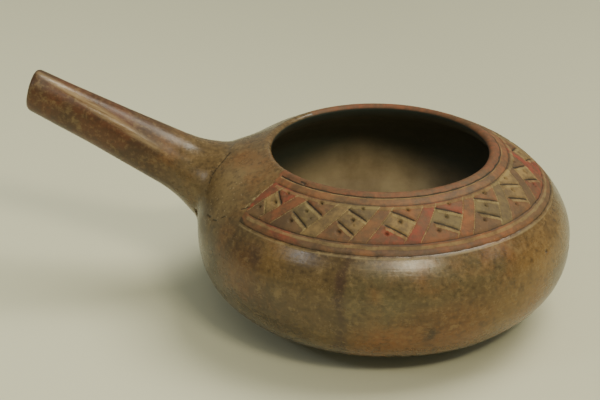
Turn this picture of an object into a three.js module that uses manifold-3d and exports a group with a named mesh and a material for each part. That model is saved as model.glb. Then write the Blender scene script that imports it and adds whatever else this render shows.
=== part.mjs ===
// A low round dipper bowl of fired clay with one straight handle and an incised frieze on its shoulder.
//
// Frame: millimetres, +Z up. The origin is the middle of the flattened base, on the axis of the bowl.
// The handle leaves the bowl towards -X and climbs. Angles about the axis are counted from +X, in degrees.

import * as THREE from 'three';
import { mergeVertices } from 'three/addons/utils/BufferGeometryUtils.js';
import Module from 'manifold-3d';

const wasm = await Module();
wasm.setup();

// Bowl: two half superellipses that meet at the widest ring.
const BOWL_RADIUS = 94.7;
const WIDEST_Z = 46;
const SHOULDER_HEIGHT = 52.7;
const SHOULDER_POWER = 2.015;
const BELLY_DEPTH = 48.2;
const BELLY_POWER = 2.55;
const BASE_RADIUS = 40;

// Wall: the hollow is a smaller shape of the same kind, a little thicker at the floor.
const HOLLOW_RADIUS = 88.4;
const HOLLOW_SHOULDER = 46.2;
const HOLLOW_DEPTH = 41.2;
const HOLLOW_FLOOR_RADIUS = 34;

// Mouth: a flat-topped lip with rounded edges, set slightly towards the handle.
const LIP_OUTER_RADIUS = 59.6;
const LIP_INNER_RADIUS = 54.4;
const LIP_TOP_RISE = 1.1;
const MOUTH_SHIFT_X = -2.4;
const MOUTH_SHIFT_Y = 0.7;

// Handle: a solid tapering rod. Its axis starts on the bowl's axis, below the widest ring.
const HANDLE_RISE_DEGREES = 24.6;
const HANDLE_AXIS_DROP = 22;
const HANDLE_ROOT_RADIUS = 15.1;
const HANDLE_TIP_RADIUS = 11.3;
const HANDLE_ROOT_AT = 110;
const HANDLE_TIP_AT = 200.4;
const HANDLE_FLARE = 6;
const HANDLE_SAG = 3;
const HANDLE_FLARE_AT = 84;
const HANDLE_FLARE_LENGTH = 52;
const TIP_ROUNDING = 2.4;
const TIP_SLANT = 0.16;

// Frieze: four incised rings, oblique bars between the middle two, and two strokes in each field.
const RING_RADII = [59.6, 64, 81.3, 85.2];
const FRIEZE_START = -134.7;
const FRIEZE_END = 136;
const BAR_ANGLES = [-121.1, -102.7, -85.7, -67.7, -49, -30.6, -12, 6.3, 24.8, 43, 61.4, 79.9, 98.3, 116.9];
const BAR_WIDTH = 5.7;
const BAR_LEAN = 0.66;
const FIELD_MIDDLE = 72.7;
const LINE_WIDTH = 1.1;
const LINE_DEPTH = 0.65;

const BOWL_SEGMENTS = 48;
const HANDLE_SEGMENTS = 24;

const radians = THREE.MathUtils.degToRad;

function superellipse(radius, height, power, angle) {
  return new THREE.Vector2(
    radius * Math.cos(angle) ** (2 / power),
    height * Math.sin(angle) ** (2 / power),
  );
}

// The parameter at which a superellipse has narrowed to a given radius.
function angleAtRadius(radius, fullRadius, power) {
  return Math.acos((radius / fullRadius) ** (power / 2));
}

function curvePoints(fullRadius, height, power, fromRadius, toRadius, steps, sign) {
  const from = angleAtRadius(fromRadius, fullRadius, power);
  const to = angleAtRadius(toRadius, fullRadius, power);
  const points = [];
  for (let i = 0; i <= steps; i++) {
    const p = superellipse(fullRadius, height, power, from + (to - from) * (i / steps));
    points.push(new THREE.Vector2(p.x, WIDEST_Z + sign * p.y));
  }
  return points;
}

// Height of the shoulder's outer surface at a radius.
function shoulderZ(radius) {
  return WIDEST_Z + SHOULDER_HEIGHT * (1 - (radius / BOWL_RADIUS) ** SHOULDER_POWER) ** (1 / SHOULDER_POWER);
}

const lipZ = shoulderZ(LIP_OUTER_RADIUS);

// The upper half leans very slightly: everything above the widest ring moves with its height.
function leanVector(v) {
  const share = Math.max(0, (v.z - WIDEST_Z) / (lipZ - WIDEST_Z));
  v.x += MOUTH_SHIFT_X * share;
  v.y += MOUTH_SHIFT_Y * share;
  return v;
}

function leanGeometry(geometry) {
  const position = geometry.getAttribute('position');
  const v = new THREE.Vector3();
  for (let i = 0; i < position.count; i++) {
    leanVector(v.fromBufferAttribute(position, i));
    position.setXYZ(i, v.x, v.y, v.z);
  }
  return geometry;
}

function solidOf(geometry) {
  const clean = geometry.clone();
  clean.deleteAttribute('normal');
  clean.deleteAttribute('uv');
  const merged = mergeVertices(clean, 1e-4);
  return new wasm.Manifold(new wasm.Mesh({
    numProp: 3,
    vertProperties: new Float32Array(merged.getAttribute('position').array),
    triVerts: new Uint32Array(merged.getIndex().array),
  }));
}

// A solid of revolution about +Z from a profile of (radius, z) points that starts and ends on the axis.
function turned(profile, segments) {
  const geometry = new THREE.LatheGeometry(profile, segments);
  geometry.rotateX(Math.PI / 2);
  return geometry;
}

// A ring's groove in the bowl's profile: its two edges, and its bottom between them.
function ringGroove(radius) {
  const edge = (r) => new THREE.Vector2(r, shoulderZ(r));
  const along = edge(radius - 0.1).sub(edge(radius + 0.1)).normalize();
  const bottom = edge(radius).add(new THREE.Vector2(-along.y, along.x).multiplyScalar(LINE_DEPTH));
  bottom.isGroove = radius;
  return [edge(radius + LINE_WIDTH / 2), bottom, edge(radius - LINE_WIDTH / 2)];
}

// Outside the frieze's arc the grooves' bottoms come back up to the plain surface.
function closeGrooves(geometry, profile) {
  const position = geometry.getAttribute('position');
  for (let i = 0; i < position.count; i++) {
    const radius = profile[i % profile.length].isGroove;
    if (!radius) continue;
    const angle = Math.atan2(position.getY(i), position.getX(i));
    if (angle > radians(FRIEZE_START - 1) && angle < radians(FRIEZE_END + 1)) continue;
    position.setXYZ(i, radius * Math.cos(angle), radius * Math.sin(angle), shoulderZ(radius));
  }
  return geometry;
}

function bowlSolid() {
  const belly = curvePoints(BOWL_RADIUS, BELLY_DEPTH, BELLY_POWER, BASE_RADIUS, BOWL_RADIUS, 8, -1);
  belly[0].y = 0;
  const [lipRing, innerRing, outerRing, lowRing] = RING_RADII;
  const shoulder = [
    new THREE.Vector2(94, shoulderZ(94)), new THREE.Vector2(90.5, shoulderZ(90.5)),
    ...ringGroove(lowRing), ...ringGroove(outerRing), new THREE.Vector2(FIELD_MIDDLE, shoulderZ(FIELD_MIDDLE)),
    ...ringGroove(innerRing), ...ringGroove(lipRing),
  ];
  const width = LIP_OUTER_RADIUS - LIP_INNER_RADIUS;
  const lip = [
    [LIP_OUTER_RADIUS - 0.3 * width, lipZ + 0.85 * LIP_TOP_RISE],
    [LIP_OUTER_RADIUS - 0.5 * width, lipZ + LIP_TOP_RISE],
    [LIP_INNER_RADIUS + 0.2 * width, lipZ + 0.6 * LIP_TOP_RISE],
    [LIP_INNER_RADIUS, lipZ - 0.8],
    [LIP_INNER_RADIUS - 0.2, lipZ - 2.6],
    [LIP_INNER_RADIUS + 0.4, lipZ - 4.2],
  ].map(([r, z]) => new THREE.Vector2(r, z));
  const roof = curvePoints(
    HOLLOW_RADIUS, HOLLOW_SHOULDER, 2, LIP_INNER_RADIUS + 2.4, HOLLOW_RADIUS, 5, 1,
  );
  const floor = curvePoints(
    HOLLOW_RADIUS, HOLLOW_DEPTH, BELLY_POWER, HOLLOW_RADIUS, HOLLOW_FLOOR_RADIUS, 6, -1,
  ).slice(1);
  const floorZ = floor[floor.length - 1].y;
  const profile = [
    new THREE.Vector2(0, 0), ...belly, ...shoulder, ...lip, ...roof, ...floor,
    new THREE.Vector2(HOLLOW_FLOOR_RADIUS * 0.45, floorZ - 0.9),
    new THREE.Vector2(0, floorZ - 1.2),
  ];
  return solidOf(leanGeometry(closeGrooves(turned(profile, BOWL_SEGMENTS), profile)));
}

// A shape whose surface runs in the middle of the wall. It trims what would reach into the hollow.
function wallCore() {
  const inset = (BOWL_RADIUS - HOLLOW_RADIUS) / 2;
  const lower = curvePoints(BOWL_RADIUS - inset, BELLY_DEPTH - 4, BELLY_POWER, 1, BOWL_RADIUS - inset, 9, -1);
  const upper = curvePoints(
    BOWL_RADIUS - inset, SHOULDER_HEIGHT - inset, SHOULDER_POWER, BOWL_RADIUS - inset, 1, 9, 1,
  ).slice(1);
  lower[0].x = 0;
  upper[upper.length - 1].x = 0;
  return solidOf(leanGeometry(turned([...lower, ...upper], BOWL_SEGMENTS)));
}

// How far the handle has swelled towards the bowl: 0 along the rod, 1 inside the wall.
function swelling(along) {
  return THREE.MathUtils.clamp(1 - (along - HANDLE_FLARE_AT) / HANDLE_FLARE_LENGTH, 0, 1) ** 2;
}

function handleRadius(along) {
  const share = (along - HANDLE_ROOT_AT) / (HANDLE_TIP_AT - HANDLE_ROOT_AT);
  return HANDLE_ROOT_RADIUS + (HANDLE_TIP_RADIUS - HANDLE_ROOT_RADIUS) * share + HANDLE_FLARE * swelling(along);
}

function handleSolid() {
  const profile = [new THREE.Vector2(0, 70)];
  for (const along of [70, 82, 87, 92, 97, 102, 108, 115, 124, 136, 156, 178]) {
    profile.push(new THREE.Vector2(handleRadius(Math.max(along, 84)), along));
  }
  for (const turn of [0, 25, 50, 75]) {
    const r = HANDLE_TIP_RADIUS - TIP_ROUNDING * (1 - Math.cos(radians(turn)));
    profile.push(new THREE.Vector2(r, HANDLE_TIP_AT - TIP_ROUNDING * (1 - Math.sin(radians(turn)))));
  }
  profile.push(new THREE.Vector2(HANDLE_TIP_RADIUS - TIP_ROUNDING - 3, HANDLE_TIP_AT + 0.7));
  profile.push(new THREE.Vector2(0, HANDLE_TIP_AT + 1.1));
  const geometry = turned(profile, HANDLE_SEGMENTS);
  // The end is cut a little aslant, so that the upper side is the longer one, and the root swells downwards.
  const position = geometry.getAttribute('position');
  for (let i = 0; i < position.count; i++) {
    const share = THREE.MathUtils.smoothstep(position.getZ(i), 178, HANDLE_TIP_AT);
    position.setX(i, position.getX(i) - HANDLE_SAG * swelling(position.getZ(i)));
    position.setZ(i, position.getZ(i) + position.getX(i) * TIP_SLANT * share);
  }
  geometry.rotateY(-radians(90 - HANDLE_RISE_DEGREES));
  geometry.translate(0, 0, WIDEST_Z - HANDLE_AXIS_DROP);
  return solidOf(geometry).subtract(wallCore());
}

// A point of the shoulder's surface and the direction that faces out of the wall there.
function onShoulder(angle, radius) {
  const at = (a, r) => leanVector(new THREE.Vector3(
    r * Math.cos(radians(a)), r * Math.sin(radians(a)), shoulderZ(r),
  ));
  const point = at(angle, radius);
  const around = at(angle + 0.5, radius).sub(point);
  const outward = at(angle, radius + 0.5).sub(point);
  return { point, normal: outward.cross(around).normalize() };
}

// An incised line: a V-shaped sweep along a path of [angle, radius] places on the shoulder.
function incision(path, width = LINE_WIDTH, depth = LINE_DEPTH) {
  const places = path.map(([angle, radius]) => onShoulder(angle, radius));
  const vertices = [];
  const faces = [];
  places.forEach(({ point, normal }, i) => {
    const before = places[Math.max(i - 1, 0)].point;
    const after = places[Math.min(i + 1, places.length - 1)].point;
    const side = after.clone().sub(before).cross(normal).normalize();
    const above = point.clone().addScaledVector(normal, depth * 2);
    const reach = width * 1.5;
    vertices.push(
      above.clone().addScaledVector(side, reach),
      above.clone().addScaledVector(side, -reach),
      point.clone().addScaledVector(normal, -depth),
    );
    if (i === 0) return;
    const a = 3 * (i - 1);
    for (let j = 0; j < 3; j++) {
      const k = (j + 1) % 3;
      faces.push(a + j, a + 3 + j, a + k, a + k, a + 3 + j, a + 3 + k);
    }
  });
  const last = vertices.length - 3;
  faces.push(0, 1, 2, last, last + 2, last + 1);
  const geometry = new THREE.BufferGeometry();
  geometry.setAttribute('position', new THREE.Float32BufferAttribute(vertices.flatMap((v) => v.toArray()), 3));
  geometry.setIndex(faces);
  return solidOf(geometry);
}

function strokePath(from, to, steps) {
  return Array.from({ length: steps + 1 }, (_, i) => [
    from[0] + (to[0] - from[0]) * (i / steps),
    from[1] + (to[1] - from[1]) * (i / steps),
  ]);
}

// The side of a leaning bar: its angle at a radius.
const barSide = (middle, side) => (radius) => middle + side * BAR_WIDTH / 2 - BAR_LEAN * (radius - FIELD_MIDDLE);

function friezeSolids() {
  const [, inner, outer] = RING_RADII;
  const cuts = [];
  const borderStart = (radius) => FRIEZE_START - 0.17 * (radius - inner);
  const borderInside = (radius) => FRIEZE_START + 6.5 - 0.46 * (radius - inner);
  const borderEnd = (radius) => FRIEZE_END - 1 - 0.3 * (radius - inner);
  const edges = [[borderStart, borderInside]];
  for (const angle of BAR_ANGLES) edges.push([barSide(angle, -1), barSide(angle, 1)]);
  edges.push([borderEnd, borderEnd]);
  for (const [left, right] of edges) {
    cuts.push(incision(strokePath([left(inner), inner], [left(outer), outer], 2)));
    if (left !== right) cuts.push(incision(strokePath([right(inner), inner], [right(outer), outer], 2)));
  }
  for (let i = 0; i + 1 < edges.length; i++) {
    const right = edges[i][1];
    const left = edges[i + 1][0];
    for (const [from, to] of [[66.8, 72.2], [73.1, 78.8]]) {
      cuts.push(incision(strokePath([right(from), from], [left(to), to], 1)));
    }
  }
  return cuts;
}

let vessel = bowlSolid().add(handleSolid());
for (const cut of friezeSolids()) vessel = vessel.subtract(cut);

const mesh = vessel.getMesh();
const geometry = new THREE.BufferGeometry();
geometry.setAttribute('position', new THREE.Float32BufferAttribute(mesh.vertProperties, 3));
geometry.setIndex(Array.from(mesh.triVerts));

const clay = new THREE.MeshStandardMaterial({ color: 0x5d4634, roughness: 0.45, metalness: 0 });
const vesselMesh = new THREE.Mesh(geometry, clay);
vesselMesh.name = 'vessel';

const group = new THREE.Group();
group.add(vesselMesh);

export default group;
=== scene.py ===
"""A handled dipper bowl of burnished clay: its fine surface, its slip-painted frieze and a plain stage."""

import math

import bmesh
import bpy
import numpy as np
from bpy.props import FloatProperty, FloatVectorProperty, IntProperty, PointerProperty
from mathutils import Matrix, Vector, kdtree, noise


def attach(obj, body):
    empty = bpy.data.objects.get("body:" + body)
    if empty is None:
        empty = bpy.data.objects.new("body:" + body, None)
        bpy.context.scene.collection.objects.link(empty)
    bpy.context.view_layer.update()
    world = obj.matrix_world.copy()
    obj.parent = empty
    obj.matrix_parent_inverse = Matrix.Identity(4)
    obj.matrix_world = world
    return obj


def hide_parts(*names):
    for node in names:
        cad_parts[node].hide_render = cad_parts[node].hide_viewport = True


bl_info = {
    "name": "Dipper Bowl",
    "version": (1, 0, 0),
    "blender": (4, 5, 0),
    "location": "3D View > Sidebar > Dipper Bowl",
    "description": "Builds a clay dipper bowl with an incised, slip-painted frieze, and its stage",
    "category": "Add Mesh",
}

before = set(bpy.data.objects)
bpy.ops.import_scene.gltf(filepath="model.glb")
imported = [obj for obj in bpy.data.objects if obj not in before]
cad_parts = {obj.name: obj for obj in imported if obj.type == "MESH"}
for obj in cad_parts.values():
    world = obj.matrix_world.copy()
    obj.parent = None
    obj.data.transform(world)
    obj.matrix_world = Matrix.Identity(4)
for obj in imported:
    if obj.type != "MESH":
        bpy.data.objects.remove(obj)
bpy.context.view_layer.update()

MM = 0.001

# The frieze, in millimetres from the bowl's axis and degrees from +X.
RINGS = (59.9, 64.1, 81.2, 85.1)
FRIEZE_START = -134.7
FRIEZE_END = 136.0
BAR_ANGLES = (
    -121.1, -102.7, -85.7, -67.7, -49.0, -30.6, -12.0, 6.3, 24.8, 43.0, 61.4, 79.9, 98.3, 116.9,
)
FIELD_MIDDLE = 72.7
FRIEZE_CUTS = 3

# The slip on each bar, and on the upper, middle and lower parts of each field, by the palette's names.
BAR_SLIPS = (
    "rust", "ochre", "orange", "red", "orange", "olive", "brown",
    "red", "ochre", "orange", "rust", "olive", "red", "ochre",
)
FIELD_SLIPS = (
    ("red", "ochre", "brown"), ("rust", "olive", "brown"), ("olive", "ochre", "rust"),
    ("orange", "ochre", "red"), ("red", "olive", "rust"), ("orange", "olive", "brown"),
    ("ochre", "ochre", "rust"), ("brown", "ochre", "red"), ("rust", "ochre", "red"),
    ("orange", "olive", "brown"), ("red", "ochre", "mauve"), ("ochre", "ochre", "red"),
    ("rust", "olive", "brown"), ("red", "ochre", "orange"), ("orange", "olive", "red"),
)
# The slip of the hem under the frieze: the angle at which each stretch starts, and its name.
HEM_SLIPS = (
    (-140, "rust"), (-126, "red"), (-116, "mauve"), (-109, "rust"), (-105, "mauve"), (-98, "orange"),
    (-91, "mauve"), (-71, "rust"), (-52, "orange"), (-30, "mauve"), (-8, "rust"), (20, "mauve"),
    (44, "orange"), (60, "brown"), (84, "red"), (101, "mauve"), (122, "rust"),
)
# How far each ring starts behind the frieze's left end, in degrees.
RING_LEADS = (0.0, 2.0, 1.0, -0.5)
# A line's looks: how dark it is painted, as painted shade in it, how much pale it holds, partly earth and
# partly painted light, and whether that pale lies on its lower side, the lit one.
RING_LINE = (0.8, 0.9, True)
STEEP_LINE = (0.15, 2.2, False)
LEVEL_LINE = (1.0, 0.82, True)
# The two strokes that cross each field: radius at the left bar, at the right bar, and the start's lead.
FIELD_STROKES = ((66.8, 72.2, -0.3), (73.1, 78.4, 1.0))
# The dots in each field: radius, and share of the way from bar to bar. Two small dots lie beside them.
FIELD_DOTS = ((66.4, 0.5), (72.0, 0.5), (77.3, 0.4))
SMALL_DOTS = [(-109.3, 74.2, 0.6), (-92.9, 74.4, 0.6)]

# The bowl's mesh: rings on the base in millimetres, and the number of rows on its curves.
BASE_STEPS = (0, 14, 27, 36)
BELLY_ROWS = 28
WAIST_ROWS = 10
HOLLOW_ROWS = 12
# The lip's crown, as shares of the lip's width inwards and of its rise upwards.
LIP_CROWN = ((0.28, 0.72), (0.42, 0.95), (0.56, 1.0), (0.70, 0.92), (0.82, 0.62))
# The lip's inner side, in millimetres outwards from the mouth and downwards from the shoulder's edge.
LIP_THROAT = ((0.2, -0.055), (0.0, 0.7), (0.4, 1.8), (1.2, 3.1), (2.2, 4.5))

# The handle's mesh, along its axis in millimetres: its inner end, and where its rows stop following the wall.
HANDLE_INNER = 90
HANDLE_ROOT_END = 125
HANDLE_ROWS = 58
# How much slimmer the handle is from front to back at its end, and the turn of that side about its axis.
HANDLE_SLIMNESS = 0.18
SLIM_TURN = math.radians(10)
# How far in mm the clay is built up at the handle's upper and lower side, on the wall and on the handle.
WALL_FILLET = (26, 8)
HANDLE_FILLET = (26, 24)
# Radii in millimetres at which the shoulder's length is measured.
SHOULDER_SAMPLES = np.linspace(55.0, 94.0, 400)


def srgb(*channels):
    """A colour on screen, 0 to 255, as the linear colour a shader wants."""
    shares = [channel / 255.0 for channel in channels]
    return tuple(share / 12.92 if share < 0.0404 else ((share + 0.055) / 1.055) ** 2.4 for share in shares)


def length(name, description, default):
    return FloatProperty(
        name=name, description=description, default=default * MM, unit="LENGTH", precision=5,
    )


def number(name, description, default):
    return FloatProperty(name=name, description=description, default=default)


def angle_of(name, description, default):
    turn = math.radians(default)
    return FloatProperty(name=name, description=description, default=turn, subtype="ANGLE")


def watts(name, description, default):
    return FloatProperty(name=name, description=description, default=default, unit="POWER")


def colour(name, description, default):
    return FloatVectorProperty(
        name=name, description=description, default=srgb(*default), size=3, min=0.0, max=1.0, subtype="COLOR",
    )


class BowlSizes(bpy.types.PropertyGroup):
    radius: length("Radius", "Radius of the widest ring", 94.7)
    widest: length("Widest at", "Height of the widest ring above the base", 46.0)
    shoulder: length("Shoulder height", "Height at which the shoulder's curve would close", 52.7)
    shoulder_power: number("Shoulder fullness", "Power of the shoulder's curve", 2.015)
    belly: length("Belly depth", "Depth at which the belly's curve would close", 48.2)
    belly_power: number("Belly fullness", "Power of the belly's curve", 2.55)
    base: length("Base radius", "Radius of the flattened base", 40.0)
    hollow_radius: length("Hollow radius", "Largest radius of the hollow", 88.4)
    hollow_shoulder: length("Hollow shoulder", "Height at which the hollow's upper curve would close", 46.2)
    hollow_depth: length("Hollow depth", "Depth at which the hollow's lower curve would close", 41.2)
    hollow_floor: length("Hollow floor", "Radius of the hollow's flat floor", 34.0)
    lip_outer: length("Lip outside", "Radius at which the lip leaves the shoulder", 59.6)
    lip_inner: length("Lip inside", "Radius of the mouth", 54.4)
    lip_rise: length("Lip rise", "Height of the lip above the shoulder's edge", 1.1)
    lean_x: length("Lean in X", "How far the mouth sits off the axis, along X", -2.4)
    lean_y: length("Lean in Y", "How far the mouth sits off the axis, along Y", 0.7)
    segments: IntProperty(name="Segments", description="Steps round the bowl", default=240, min=48)


class HandleSizes(bpy.types.PropertyGroup):
    rise: angle_of("Rise", "Slope of the handle", 24.6)
    drop: length("Axis drop", "How far below the widest ring the handle's axis starts", 22.0)
    root_at: length("Root at", "Distance along the axis at which the root radius holds", 110.0)
    tip_at: length("Tip at", "Distance along the axis to the handle's end", 200.4)
    root_radius: length("Root radius", "Radius near the bowl", 15.1)
    tip_radius: length("Tip radius", "Radius at the end", 11.3)
    rounding: length("End rounding", "Rounding of the end's edge", 2.4)
    slant: number("End slant", "How far the end is cut aslant", 0.16)
    segments: IntProperty(name="Segments", description="Steps round the handle", default=96, min=24)


class FriezeSizes(bpy.types.PropertyGroup):
    line_depth: length("Line depth", "Depth of an incised line", 0.62)
    bar_width: angle_of("Bar width", "Width of a bar round the axis", 5.7)
    bar_lean: number("Bar lean", "Degrees that a bar turns for each millimetre outwards", 0.66)
    dot_radius: length("Dot radius", "Radius of a punched dot", 1.2)
    dot_depth: length("Dot depth", "Depth of a punched dot", 1.25)
    row: length("Mesh row", "Height of the mesh rows that carry the frieze", 0.42)
    red: colour("Red slip", "Deep red slip", (134, 58, 38))
    rust: colour("Rust slip", "Orange-brown slip", (122, 72, 42))
    orange: colour("Orange slip", "Orange slip", (134, 80, 44))
    ochre: colour("Ochre slip", "Tan slip", (142, 116, 70))
    olive: colour("Olive slip", "Olive-grey slip", (112, 97, 60))
    brown: colour("Brown slip", "Dull brown slip", (100, 72, 46))
    mauve: colour("Mauve slip", "Purple-brown slip", (106, 70, 52))


class ClayColours(bpy.types.PropertyGroup):
    body: colour("Clay", "Burnished clay at its most usual", (98, 80, 50))
    brown: colour("Brown clay", "Clay of a middling brown", (88, 67, 38))
    dark: colour("Dark clay", "Clay where smoke has darkened it", (52, 39, 23))
    warm: colour("Warm clay", "Clay where the fire has reddened it", (124, 78, 36))
    gold: colour("Golden clay", "Clay of a golden brown", (128, 97, 48))
    russet: colour("Russet clay", "Red-brown clay of the handle", (96, 55, 29))
    tan: colour("Tan clay", "Paler clay where the burnish has worn", (132, 110, 72))
    grey: colour("Grey clay", "Clay with a grey-green cast", (88, 80, 54))
    purple: colour("Purple clay", "Purple-brown stain", (68, 49, 37))
    # Painted light: the pale colour of the hollow low down, where the light falls.
    inside: colour("Inside", "Clay of the hollow's floor", (168, 150, 116))
    # Painted shade: the dark colour of the hollow higher up and towards its sides, under the lip.
    painted_hollow_shade: colour("Soot", "Smoked clay under the lip", (44, 52, 44))
    # Pale earth in the lines, which also paints the light on their lit lower sides.
    dust: colour("Dust", "Pale earth left in the incised lines", (138, 122, 84))
    # Painted shade in the lines and dots, and the darker colour of the cracks and pits.
    dark_in_recesses: colour("Dirt", "Dark earth in the cracks and pits", (30, 23, 16))
    # The pale specks' colour, which also paints the highlight along the handle.
    specks_and_painted_highlight: colour("Specks", "Pale mineral specks", (164, 142, 108))


class StageLooks(bpy.types.PropertyGroup):
    floor: colour("Floor", "Paper under the bowl", (218, 218, 192))
    key: watts("Key light", "Power of the small light in front, on the right", 6.2)
    wide: watts("Wide light", "Power of the wide, weaker light in front", 2.6)
    top: watts("Top light", "Power of the soft light overhead, on the right", 17.0)
    window: watts("Windows", "Power of the cool light on the left, of which the right one has a share", 1.3)
    room: number("Room", "Strength of the light from all round", 0.32)
    focal: number("Focal length", "Lens of the camera in millimetres", 90.0)
    distance: length("Distance", "From the camera to the bowl's middle", 769.0)
    elevation: angle_of("Elevation", "Height of the camera", 25.72)
    azimuth: angle_of("Azimuth", "Turn of the camera towards +X", 6.0)
    roll: angle_of("Roll", "Roll of the camera", 1.52)


class DipperSettings(bpy.types.PropertyGroup):
    bowl: PointerProperty(type=BowlSizes)
    handle: PointerProperty(type=HandleSizes)
    frieze: PointerProperty(type=FriezeSizes)
    clay: PointerProperty(type=ClayColours)
    stage: PointerProperty(type=StageLooks)


# Form of the bowl and the handle

def curve_rows(radius, height, power, start, end, steps, middle, sign):
    """Points of a half superellipse between two radii, as (radius, height above the base)."""
    first, last = (math.acos(min(1.0, (r / radius) ** (power / 2))) for r in (start, end))
    rows = []
    for i in range(steps + 1):
        t = first + (last - first) * i / steps
        across, up = math.cos(t) ** (2 / power), math.sin(t) ** (2 / power)
        rows.append((radius * across, middle + sign * height * up))
    return rows


def shoulder_height(bowl, radius):
    """Height of the shoulder's outer surface at a radius, or at an array of radii."""
    power = bowl.shoulder_power
    share = np.clip(1 - (np.asarray(radius) / bowl.radius) ** power, 0, 1)
    return bowl.widest + bowl.shoulder * share ** (1 / power)


def shoulder_rows(bowl, start, end, steps):
    return curve_rows(bowl.radius, bowl.shoulder, bowl.shoulder_power, start, end, steps, bowl.widest, 1)


def lip_section(bowl):
    edge = float(shoulder_height(bowl, bowl.lip_outer))
    width = bowl.lip_outer - bowl.lip_inner
    crown = [(bowl.lip_outer - inwards * width, edge + up * bowl.lip_rise) for inwards, up in LIP_CROWN]
    throat = [(bowl.lip_inner + outwards * MM, edge - down * MM) for outwards, down in LIP_THROAT]
    return crown + throat


def bowl_profile(bowl, row):
    """The bowl's outline from the middle of its base over the lip to the middle of its floor."""
    base = [(step * MM, 0.0) for step in BASE_STEPS]
    belly = curve_rows(
        bowl.radius, bowl.belly, bowl.belly_power, bowl.base, bowl.radius, BELLY_ROWS, bowl.widest, -1,
    )
    belly[0] = (bowl.base, 0.15 * MM)
    frieze_low, frieze_high = (RINGS[-1] + 1.3) * MM, (RINGS[0] - 1.2) * MM
    waist = shoulder_rows(bowl, bowl.radius, frieze_low, WAIST_ROWS)[1:]
    trial = shoulder_rows(bowl, frieze_low, frieze_high, 200)
    reach = sum(math.dist(a, b) for a, b in zip(trial, trial[1:]))
    field = shoulder_rows(bowl, frieze_low, frieze_high, round(reach / row))[1:]
    roof = curve_rows(
        bowl.hollow_radius, bowl.hollow_shoulder, 2, bowl.lip_inner + 4 * MM, bowl.hollow_radius,
        HOLLOW_ROWS, bowl.widest, 1,
    )
    floor = curve_rows(
        bowl.hollow_radius, bowl.hollow_depth, bowl.belly_power, bowl.hollow_radius, bowl.hollow_floor,
        HOLLOW_ROWS, bowl.widest, -1,
    )[1:]
    low = floor[-1][1]
    # The floor dips a little towards its middle.
    middle = [
        (share * bowl.hollow_floor, low - dip * MM) for share, dip in ((0.7, 0.7), (0.35, 1.1), (0.0, 1.2))
    ]
    return base + belly + waist + field + lip_section(bowl) + roof + floor + middle


def turned(profile, segments):
    """A bmesh of a profile spun about the Z axis. The profile starts and ends on the axis."""
    bm = bmesh.new()
    verts = [bm.verts.new((r, 0.0, z)) for r, z in profile]
    edges = [bm.edges.new(pair) for pair in zip(verts, verts[1:])]
    bmesh.ops.spin(
        bm, geom=verts + edges, cent=(0, 0, 0), axis=(0, 0, 1), dvec=(0, 0, 0),
        angle=math.tau, steps=segments, use_merge=True, use_duplicate=False,
    )
    bmesh.ops.remove_doubles(bm, verts=bm.verts, dist=0.02 * MM)
    bmesh.ops.recalc_face_normals(bm, faces=bm.faces)
    return bm


def places_of(bm):
    return np.array([v.co for v in bm.verts])


def move_to(bm, places):
    for vert, place in zip(bm.verts, places.tolist()):
        vert.co = place


def smoothstep(low, high, value):
    t = np.clip((value - low) / (high - low), 0, 1)
    return t * t * (3 - 2 * t)


def handle_radius(handle, along):
    share = (along - handle.root_at) / (handle.tip_at - handle.root_at)
    return handle.root_radius + (handle.tip_radius - handle.root_radius) * share


def handle_axis(bowl, handle):
    start = np.array([0.0, 0.0, bowl.widest - handle.drop])
    direction = np.array([-math.cos(handle.rise), 0.0, math.sin(handle.rise)])
    return start, direction


def gap_to_bowl(bowl, places):
    """About how far each place lies outside the bowl's outer surface, negative inside it."""
    r = np.hypot(places[:, 0], places[:, 1]) / bowl.radius
    rise = places[:, 2] - bowl.widest
    power = np.where(rise > 0, bowl.shoulder_power, bowl.belly_power)
    height = np.where(rise > 0, bowl.shoulder, bowl.belly)
    h = np.abs(rise) / height
    size = np.maximum(r ** power + h ** power, 1e-9) ** (1 / power)
    slope = size ** (1 - power) * np.hypot(r ** (power - 1) / bowl.radius, h ** (power - 1) / height)
    return (size - 1) / np.maximum(slope, 1e-6)


def gap_to_handle(bowl, handle, places):
    """How far each place lies from the handle's side, up its section (from -1 to 1) and along its axis."""
    start, direction = handle_axis(bowl, handle)
    offset = places - start
    along = offset @ direction
    off_axis = offset - along[:, None] * direction
    reach = np.linalg.norm(off_axis, axis=1)
    upward = np.array([math.sin(handle.rise), 0.0, math.cos(handle.rise)])
    return reach - handle_radius(handle, along), (off_axis @ upward) / np.maximum(reach, 1e-6), along


def fillet(gap, upness, reaches):
    """How far the clay is built up where bowl and handle meet, from the fillet's reach above and below."""
    above, below = (reach * MM for reach in reaches)
    reach = below + (above - below) * (upness + 1) / 2
    return reach / 4 * np.clip(1 - np.abs(gap) / reach, 0, 1) ** 2


def bowl_mesh(bowl, handle, row):
    bm = turned(bowl_profile(bowl, row), bowl.segments)
    bm.normal_update()
    places = places_of(bm)
    normals = np.array([v.normal for v in bm.verts])
    side_gap, upness, along = gap_to_handle(bowl, handle, places)
    outer = (np.abs(gap_to_bowl(bowl, places)) < 1 * MM) & (along > 60 * MM)
    places += normals * (fillet(side_gap, upness, WALL_FILLET) * outer)[:, None]
    move_to(bm, places)
    return bm


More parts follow.
